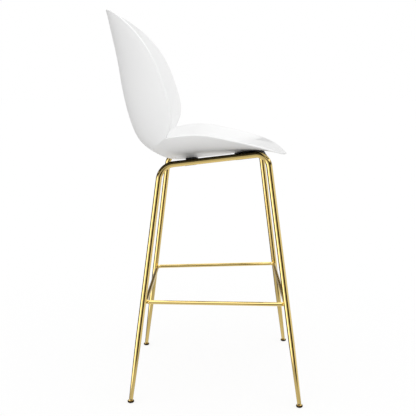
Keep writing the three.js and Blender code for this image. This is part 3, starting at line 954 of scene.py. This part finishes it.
def make_footrest():
    centres = [corner_centre(end, side) for end, side in AROUND]
    runs = [centres[(i + 1) % 4] - centres[i] for i in range(4)]
    headings = [run.normalized() for run in runs]
    out = Vector((-headings[3].y, headings[3].x, 0))
    tube = Tube(centres[0] + out * ROD_BEND, headings[3], ROD_RADIUS, TUBE_SIDES, capped=False)
    for heading, run in zip(headings, runs):
        tube.bend(heading, ROD_BEND, BEND_STEPS // 2)
        tube.push(run.length)
    bmesh.ops.remove_doubles(tube.mesh, verts=tube.mesh.verts, dist=0.01 * MM)
    finish_piece("footrest_rod", tube.finish(), "brass_plate", ["footrest_ring"])


make_footrest()

# %% [markdown]
# ## Brazing
# Molten brass is drawn into the corner between two pieces and leaves a smooth, hollow fillet. At
# each leg that fillet is a flattened bead, longer along the rod than it is high. It is plated
# with the frame, so only its shape and the dark line beside it show.

# %% Brazed joints
BEAD = (6 * MM, 3.6 * MM, 6.2 * MM)


def make_braze(end, side):
    out = facing(end, side)
    middle = corner_centre(end, side) + out * (ROD_BEND + ROD_RADIUS)
    mesh = bmesh.new()
    bmesh.ops.create_uvsphere(mesh, u_segments=32, v_segments=16, radius=1)
    bmesh.ops.scale(mesh, verts=mesh.verts, vec=BEAD)
    turn = Matrix((Vector((-out.y, out.x, 0)), out, Vector((0, 0, 1)))).transposed().to_4x4()
    bmesh.ops.transform(mesh, matrix=Matrix.Translation(middle) @ turn, verts=mesh.verts)
    finish_piece(f"{end}_{side}_braze", mesh, "brass_plate", material=turned_brass)


for corner in AROUND:
    make_braze(*corner)

# %% [markdown]
# ## The cross members
# Two flats of black steel tie the rails together and carry the seat. They are bar stock with
# rolled edges. Their ends run along the rails, which spread a little towards the front, and are
# cut back underneath, as a welder grinds them. A bead of weld fills the corner on top. Weld sets
# in ripples, and `DROP` is one of them, in shares of its length and of the bead's radius.

# %% Cross members
MEMBERS = {"rear": 35 * MM, "front": 92 * MM}
MEMBER_THICKNESS = 4
MEMBER_EDGE = 1 * MM
WELD_RADIUS = 2 * MM
RIPPLE = 1.4 * MM
DROP = [(0.3, 1), (0.5, 0.98), (0.2, 0.84)]
WELD_END = 0.4
STOCK_LENGTH = 0.5
END_CUT = 5 * MM
END_SLOPE = math.atan2(3, 4)

seat_axes = Matrix((Vector((1, 0, 0)), seat_back, seat_up)).transposed().to_4x4()


def lay(mesh, middle):
    place = Matrix.Translation(middle) @ seat_axes
    bmesh.ops.transform(mesh, matrix=place, verts=mesh.verts)


def make_member(end, node):
    width = MEMBERS[end]
    thickness = MEMBER_THICKNESS * MM
    middle = (feet[end, "left"] + feet[end, "right"]) / 2 - seat_up * thickness / 2
    mesh = bmesh.new()
    bmesh.ops.create_cube(mesh, size=1)
    bmesh.ops.scale(mesh, verts=mesh.verts, vec=(STOCK_LENGTH, width, thickness))
    long_edges = [edge for edge in mesh.edges if edge.calc_length() > 0.9 * STOCK_LENGTH]
    bmesh.ops.bevel(
        mesh, geom=long_edges, offset=MEMBER_EDGE, offset_type="OFFSET", segments=5,
        profile=0.5, affect="EDGES", material=-1)
    lay(mesh, middle)
    for side in SIDES:
        rear, front = rail(side)
        outward = (front - rear).cross(seat_up).normalized()
        outward *= SIGN[side] * (1 if outward.x > 0 else -1)
        top = rear - outward * END_CUT - seat_up * RAIL_ABOVE_STEEL * MM
        facing_out = outward * math.cos(END_SLOPE) - seat_up * math.sin(END_SLOPE)
        bmesh.ops.bisect_plane(
            mesh, geom=[*mesh.verts, *mesh.edges, *mesh.faces], plane_co=top, plane_no=facing_out,
            clear_outer=True)
        bmesh.ops.holes_fill(mesh, edges=[edge for edge in mesh.edges if edge.is_boundary])
    bmesh.ops.recalc_face_normals(mesh, faces=mesh.faces)
    keep_sharp(mesh)
    finish_piece(f"{end}_member", mesh, "black_steel", [node])


def make_weld(end, side):
    rear, front = rail(side)
    heading = (rear - front).normalized()
    top_below_rail = RAIL_ABOVE_STEEL * MM
    beside_rail = math.sqrt(TUBE_RADIUS**2 - top_below_rail**2)
    start = front + heading * ((feet[end, side] - front).dot(heading) - MEMBERS[end] / 2 + RIPPLE)
    start += Vector((-SIGN[side], 0, 0)) * beside_rail - seat_up * top_below_rail
    tube = Tube(start, heading, WELD_END * WELD_RADIUS, 16)
    count = round((MEMBERS[end] - 2 * RIPPLE) / RIPPLE)
    for _ in range(count):
        for share, swell in DROP:
            tube.push(share * RIPPLE, swell * WELD_RADIUS)
    tube.push(DROP[0][0] * RIPPLE, WELD_END * WELD_RADIUS)
    bmesh.ops.contextual_create(tube.mesh, geom=tube.rim())
    finish_piece(f"{end}_{side}_weld", tube.finish(), "black_steel")


for end, node in (("rear", "rear_cross_bar"), ("front", "front_cross_plate")):
    make_member(end, node)
    for side in SIDES:
        make_weld(end, side)

# %% [markdown]
# ## Screws and inserts
# Each fixing is seen only from below: a button-head screw comes up through the steel and the
# spacer block into a brass insert in the boss. The key's socket starts round, and its points are
# then drawn in to the flats of a hexagon. The screw's thread shows as close rings. `HEAD_CURVE`
# is the button's side, in shares of the head's width and of its height.

# %% Fixings
HEAD = 11
HEAD_HEIGHT = 3.3
HEAD_CROWN = 0.275
HEAD_CURVE = [(0.36, 0.88), (0.43, 0.62), (0.475, 0.4), (0.5, 0.2)]
SCREW_LENGTH = 14
PITCH = 1
THREAD_DEPTH = 0.4
SOCKET = 4
SOCKET_DEPTH = 2
INSERT = 9
INSERT_EDGE = 0.3
INSERT_GROOVE = 0.6
KNURLS = 32
KNURL_DEPTH = 0.02


def hexagon_share(angle):
    """How far out a hexagon's edge is, as a share of the corner's distance."""
    turn = (angle % (math.pi / 3)) - math.pi / 6
    return math.cos(math.pi / 6) / math.cos(turn)


def make_screw(end, side):
    corner = SOCKET / math.sqrt(3)
    profile = [(0, SOCKET_DEPTH - HEAD_HEIGHT), (corner, SOCKET_DEPTH - HEAD_HEIGHT)]
    profile += [(corner, -HEAD_HEIGHT), (HEAD_CROWN * HEAD, -HEAD_HEIGHT)]
    profile += [(out * HEAD, -drop * HEAD_HEIGHT) for out, drop in HEAD_CURVE]
    profile += [(HEAD / 2, 0), (SHANK / 2, 0)]
    height = PITCH
    while height < SCREW_LENGTH - PITCH:
        profile += [(SHANK / 2, height), (SHANK / 2 - THREAD_DEPTH, height + PITCH / 2)]
        height += PITCH
    profile += [(SHANK / 2 - PITCH, SCREW_LENGTH), (0, SCREW_LENGTH)]
    mesh = turned(profile)
    for point in mesh.verts:
        if abs(point.co.xy.length - corner * MM) < 1e-6:
            share = hexagon_share(math.atan2(point.co.y, point.co.x))
            point.co.xy = point.co.xy * share
    stand(mesh, feet[end, side] - seat_up * (MEMBER_THICKNESS + GAP) * MM, seat_up)
    keep_sharp(mesh)
    finish_piece(f"{end}_{side}_bolt", mesh, "zinc_steel", [f"{end}_{side}_screw"])


def make_insert(end, side):
    bore, outer = SHANK / 2 + GAP, INSERT / 2
    edge, neck = outer - INSERT_EDGE, outer - INSERT_GROOVE
    below, above = INSERT_LENGTH / 2 - 1, INSERT_LENGTH / 2 + 1
    profile = [(bore, 0), (edge, 0), (outer, INSERT_EDGE), (outer, below)]
    profile += [(neck, below + INSERT_GROOVE), (neck, above - INSERT_GROOVE), (outer, above)]
    profile += [(outer, INSERT_LENGTH - INSERT_EDGE), (edge, INSERT_LENGTH)]
    profile += [(bore, INSERT_LENGTH), (bore, 0)]
    mesh = turned(profile, 4 * KNURLS)
    for point in mesh.verts:
        if point.co.xy.length > (outer - 0.1) * MM:
            wave = math.cos(KNURLS * math.atan2(point.co.y, point.co.x))
            point.co.xy = point.co.xy * (1 - KNURL_DEPTH * (1 - wave))
    stand(mesh, feet[end, side] + seat_up * INSERT_FOOT * MM, seat_up)
    keep_sharp(mesh)
    finish_piece(f"{end}_{side}_nut", mesh, "insert_brass", [f"{end}_{side}_insert"])


for corner in CORNERS:
    make_screw(*corner)
    make_insert(*corner)

# %% [markdown]
# ## The glides
# A cheap ball joint keeps all four feet flat on the floor. A plug inside the leg grips a stud with
# a ball at its end. A domed brass cap snaps over the ball, and a rubber disc is pressed into the
# cap from below. Only the cap and the disc tilt, so they ride on the glide's own body.

# %% Glides
BALL_RADIUS = 3
BALL_HEIGHT = 6.3
NECK = 1.6
FLANGE = 4
FLANGE_THICKNESS = 0.8
STUD_SHANK = 2.5
STUD_LENGTH = 15
STUD_EDGE = 0.5
PLUG_LENGTH = 20
PLUG_EDGE = 1
CAP_RADIUS = 10.1
CAP_BOTTOM = 2.2
CAP_EDGE = 4.2
CAP_HEIGHT = 8.8
CAP_MOUTH = 2.7
CAP_LIP = 0.4
DOME_STEPS = 12
DISC_RADIUS = 8.75
DISC_HEIGHT = 3
DISC_EDGE = 1.7
leg_end = LEG_END / MM


def make_stud(end, side):
    neck_angle = 90 - math.degrees(math.asin(NECK / BALL_RADIUS))
    seat = leg_end - GAP
    profile = arc((0, 0), BALL_RADIUS, -90, neck_angle, 20)
    profile += [(NECK, seat - FLANGE_THICKNESS), (FLANGE, seat - FLANGE_THICKNESS), (FLANGE, seat)]
    profile += [(STUD_SHANK, seat), (STUD_SHANK, seat + STUD_LENGTH - STUD_EDGE)]
    profile += [(STUD_SHANK - STUD_EDGE, seat + STUD_LENGTH), (0, seat + STUD_LENGTH)]
    mesh = turned(profile)
    stand(mesh, balls[end, side], leg_up(end, side))
    keep_sharp(mesh)
    finish_piece(f"{end}_{side}_ball_stud", mesh, "zinc_steel", [f"{end}_{side}_glide_stud"])


def make_plug(end, side):
    bore, outer = STUD_SHANK + GAP, (TIP_RADIUS - TUBE_WALL) / MM - GAP
    top = leg_end + PLUG_LENGTH
    profile = [(bore, leg_end), (outer, leg_end), (outer, top - PLUG_EDGE)]
    profile += [(outer - PLUG_EDGE, top), (bore, top), (bore, leg_end)]
    mesh = turned(profile)
    stand(mesh, balls[end, side], leg_up(end, side))
    keep_sharp(mesh)
    finish_piece(f"{end}_{side}_plug", mesh, "black_rubber", [f"{end}_{side}_leg_plug"])


def make_cap(end, side):
    socket = BALL_RADIUS + GAP
    recess = DISC_RADIUS + GAP
    ceiling = DISC_HEIGHT + GAP
    mouth = math.degrees(math.acos((CAP_MOUTH - 0.1) / socket))
    lip = arc((CAP_RADIUS - CAP_LIP, CAP_BOTTOM + CAP_LIP), CAP_LIP, -90, 0)
    profile = [(recess, CAP_BOTTOM), *lip]
    for i in range(DOME_STEPS + 1):
        angle = math.pi / 2 * i / DOME_STEPS
        radius = CAP_MOUTH + (CAP_RADIUS - CAP_MOUTH) * math.cos(angle)
        profile.append((radius, CAP_EDGE + (CAP_HEIGHT - CAP_EDGE) * math.sin(angle)))
    profile += arc((0, BALL_HEIGHT), socket, mouth, 0, 8)
    profile += [(socket, ceiling), (recess, ceiling), (recess, CAP_BOTTOM)]
    mesh = turned(profile, 64)
    stand(mesh, Vector((*balls[end, side].xy, 0)))
    keep_sharp(mesh)
    body = f"{end}_{side}_glide"
    finish_piece(f"{body}_dome", mesh, "brass_plate", [f"{body}_cap"], body, cap_brass)


def make_disc(end, side):
    foot, edge = DISC_RADIUS - DISC_EDGE, DISC_EDGE
    profile = [(0, 0), *arc((foot, edge), edge, -90, 0), (DISC_RADIUS, DISC_HEIGHT)]
    mesh = turned([*profile, (0, DISC_HEIGHT)], 64)
    stand(mesh, Vector((*balls[end, side].xy, 0)))
    keep_sharp(mesh)
    body = f"{end}_{side}_glide"
    finish_piece(f"{body}_disc", mesh, "black_rubber", [f"{body}_pad"], body)


for corner in CORNERS:
    make_stud(*corner)
    make_plug(*corner)
    make_cap(*corner)
    make_disc(*corner)

# %% [markdown]
# ## The floor
# The stool stands on white with a faint shadow. The camera sees the floor as a mix of a white
# surface, which takes the shadow, and an even glow, which hides where the floor ends. The light
# that the floor throws back up is greyer, so that the underside keeps its shade. Mirrored rays
# pass through the floor to the room, because the metal's dark and bright bands come from there.
# From below the floor is clear, so that the underside can be looked at.

# %% Floor
FLOOR_GLOW = 0.8
FLOOR_SEEN = (0.95, 0.95, 0.95)
FLOOR_BOUNCE = (0.8, 0.8, 0.8)
FLOOR_HALF = 30
FLOOR_DROP = 0.1 * MM
WHITE = (1, 1, 1)


def make_floor():
    material = bpy.data.materials.new("floor_white")
    wiring = Wiring(material)
    white = wiring.add("ShaderNodeBsdfDiffuse", {"Color": FLOOR_SEEN})
    grey = wiring.add("ShaderNodeBsdfDiffuse", {"Color": FLOOR_BOUNCE})
    glow = wiring.add("ShaderNodeEmission", {"Color": WHITE, "Strength": 1.0})
    clear = wiring.add("ShaderNodeBsdfTransparent", {"Color": WHITE})
    solid = wiring.mix(wiring.ray("Camera"), grey, wiring.mix(FLOOR_GLOW, white, glow))
    upper = wiring.mix(wiring.ray("Glossy"), solid, clear)
    from_below = wiring.add("ShaderNodeNewGeometry", output="Backfacing")
    surface = wiring.mix(from_below, upper, clear)
    wiring.add("ShaderNodeOutputMaterial", {"Surface": surface})
    mesh = bmesh.new()
    bmesh.ops.create_grid(mesh, x_segments=1, y_segments=1, size=FLOOR_HALF)
    floor = make_object("floor", mesh, material)
    floor.location.z = -FLOOR_DROP
    floor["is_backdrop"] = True


make_floor()
print("floor ready")

# %% [markdown]
# ## Two black cards
# A studio darkens the top of a polished rail with a card that the camera can't see. Here a card
# lies just above each rail, and only mirrored rays meet it.

# %% Black cards
CARD_INNER = 150 * MM
CARD_OUTER = 256 * MM
CARD_LENGTH = 420 * MM
CARD_LIFT = 11 * MM


def make_card(side):
    rear, front = rail(side)
    middle = (rear + front) / 2 + seat_up * CARD_LIFT
    middle.x = SIGN[side] * (CARD_INNER + CARD_OUTER) / 2
    mesh = bmesh.new()
    bmesh.ops.create_grid(mesh, x_segments=1, y_segments=1, size=0.5)
    bmesh.ops.scale(mesh, verts=mesh.verts, vec=(CARD_OUTER - CARD_INNER, CARD_LENGTH, 1))
    lay(mesh, middle)
    card = make_object(f"{side}_card", mesh, black_coat)
    card.visible_camera = card.visible_diffuse = card.visible_shadow = False
    card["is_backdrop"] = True


for side in SIDES:
    make_card(side)
print("cards ready")

# %% [markdown]
# ## The light
# The room is bright overhead and on the camera's side of the stool, and dimmer on the far side.
# That soft slope of light shapes the white shell. Polished metal is only as good as what it
# mirrors, so for mirrored rays the room is a white studio with its walls, its dark gaps and its
# bright ceiling. `BELT` goes once round the walls from the far side, and `HEIGHTS` goes from
# straight down to straight up.

# %% Room
LIGHT_FROM = (-0.88, -0.14, 0.45)
LIGHT_BRIGHT = 1.36
LIGHT_DIM = 0.44
LIGHT_SPREAD = 0.8
MIRRORED_WHITE = 2.3
MIRRORED_DARK = 0.05
DARK_BROWN = (0.5, 0.28, 0.1)
BELT = [
    (0, 0.26), (0.08, 0.03), (0.26, 0.03), (0.29, 1), (0.385, 1), (0.4, 0.26), (0.485, 0.26),
    (0.5, 0), (0.625, 0), (0.645, 0.4), (0.85, 0.4), (1, 0.26),
]
HEIGHTS = [(0, 0.4), (0.6, 0.02), (0.66, 0.02), (0.74, 0.8), (1, 0.8)]
FLOOR_LINE = (-0.5, -0.42)
WALL_TOP = (0.12, 0.22)


def make_room():
    world = bpy.data.worlds.new("room")
    bpy.context.scene.world = world
    wiring = Wiring(world)
    direction = wiring.add("ShaderNodeTexCoord", output="Generated")
    x, y, z = (
        wiring.add("ShaderNodeSeparateXYZ", {"Vector": direction}, output=axis) for axis in "XYZ"
    )

    def glow(strength, colour=WHITE):
        return wiring.add("ShaderNodeBackground", {"Color": colour, "Strength": strength})

    across, along, up = LIGHT_FROM
    towards = x * across + y * along + z * up
    slope = wiring.between(towards, -LIGHT_SPREAD, LIGHT_SPREAD)
    soft = wiring.mix(slope, glow(LIGHT_DIM), glow(LIGHT_BRIGHT))

    white, dark = glow(MIRRORED_WHITE), glow(MIRRORED_DARK, DARK_BROWN)
    turn = wiring.add("ShaderNodeMath", {0: y * -1, 1: x * -1}, operation="ARCTAN2")
    around = wiring.add("ShaderNodeValToRGB", {0: turn * (1 / math.tau) + 0.5}, stops=BELT)
    upward = wiring.add("ShaderNodeValToRGB", {0: z * 0.5 + 0.5}, stops=HEIGHTS)
    above_floor = wiring.between(z, *FLOOR_LINE)
    below_top = wiring.between(z, *WALL_TOP[::-1])
    walls, ends = wiring.mix(around, dark, white), wiring.mix(upward, dark, white)
    mirrored = wiring.mix(above_floor * below_top, ends, walls)

    seen = wiring.mix(wiring.ray("Glossy"), soft, mirrored)
    surface = wiring.mix(wiring.ray("Camera"), seen, glow(1.0))
    wiring.add("ShaderNodeOutputWorld", {"Surface": surface})


make_room()
print("room ready")

# %% [markdown]
# ## Comparing the sizes
# The finished pieces should fill the same box as the imported model. The last line prints how far
# the new box's size differs from the imported one's, in millimetres.

# %% Sizes and finish
new_low, new_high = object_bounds()
differences = (new_high - new_low) - (cad_high - cad_low)
print("differs by, in mm", [round(v / MM, 2) for v in differences])
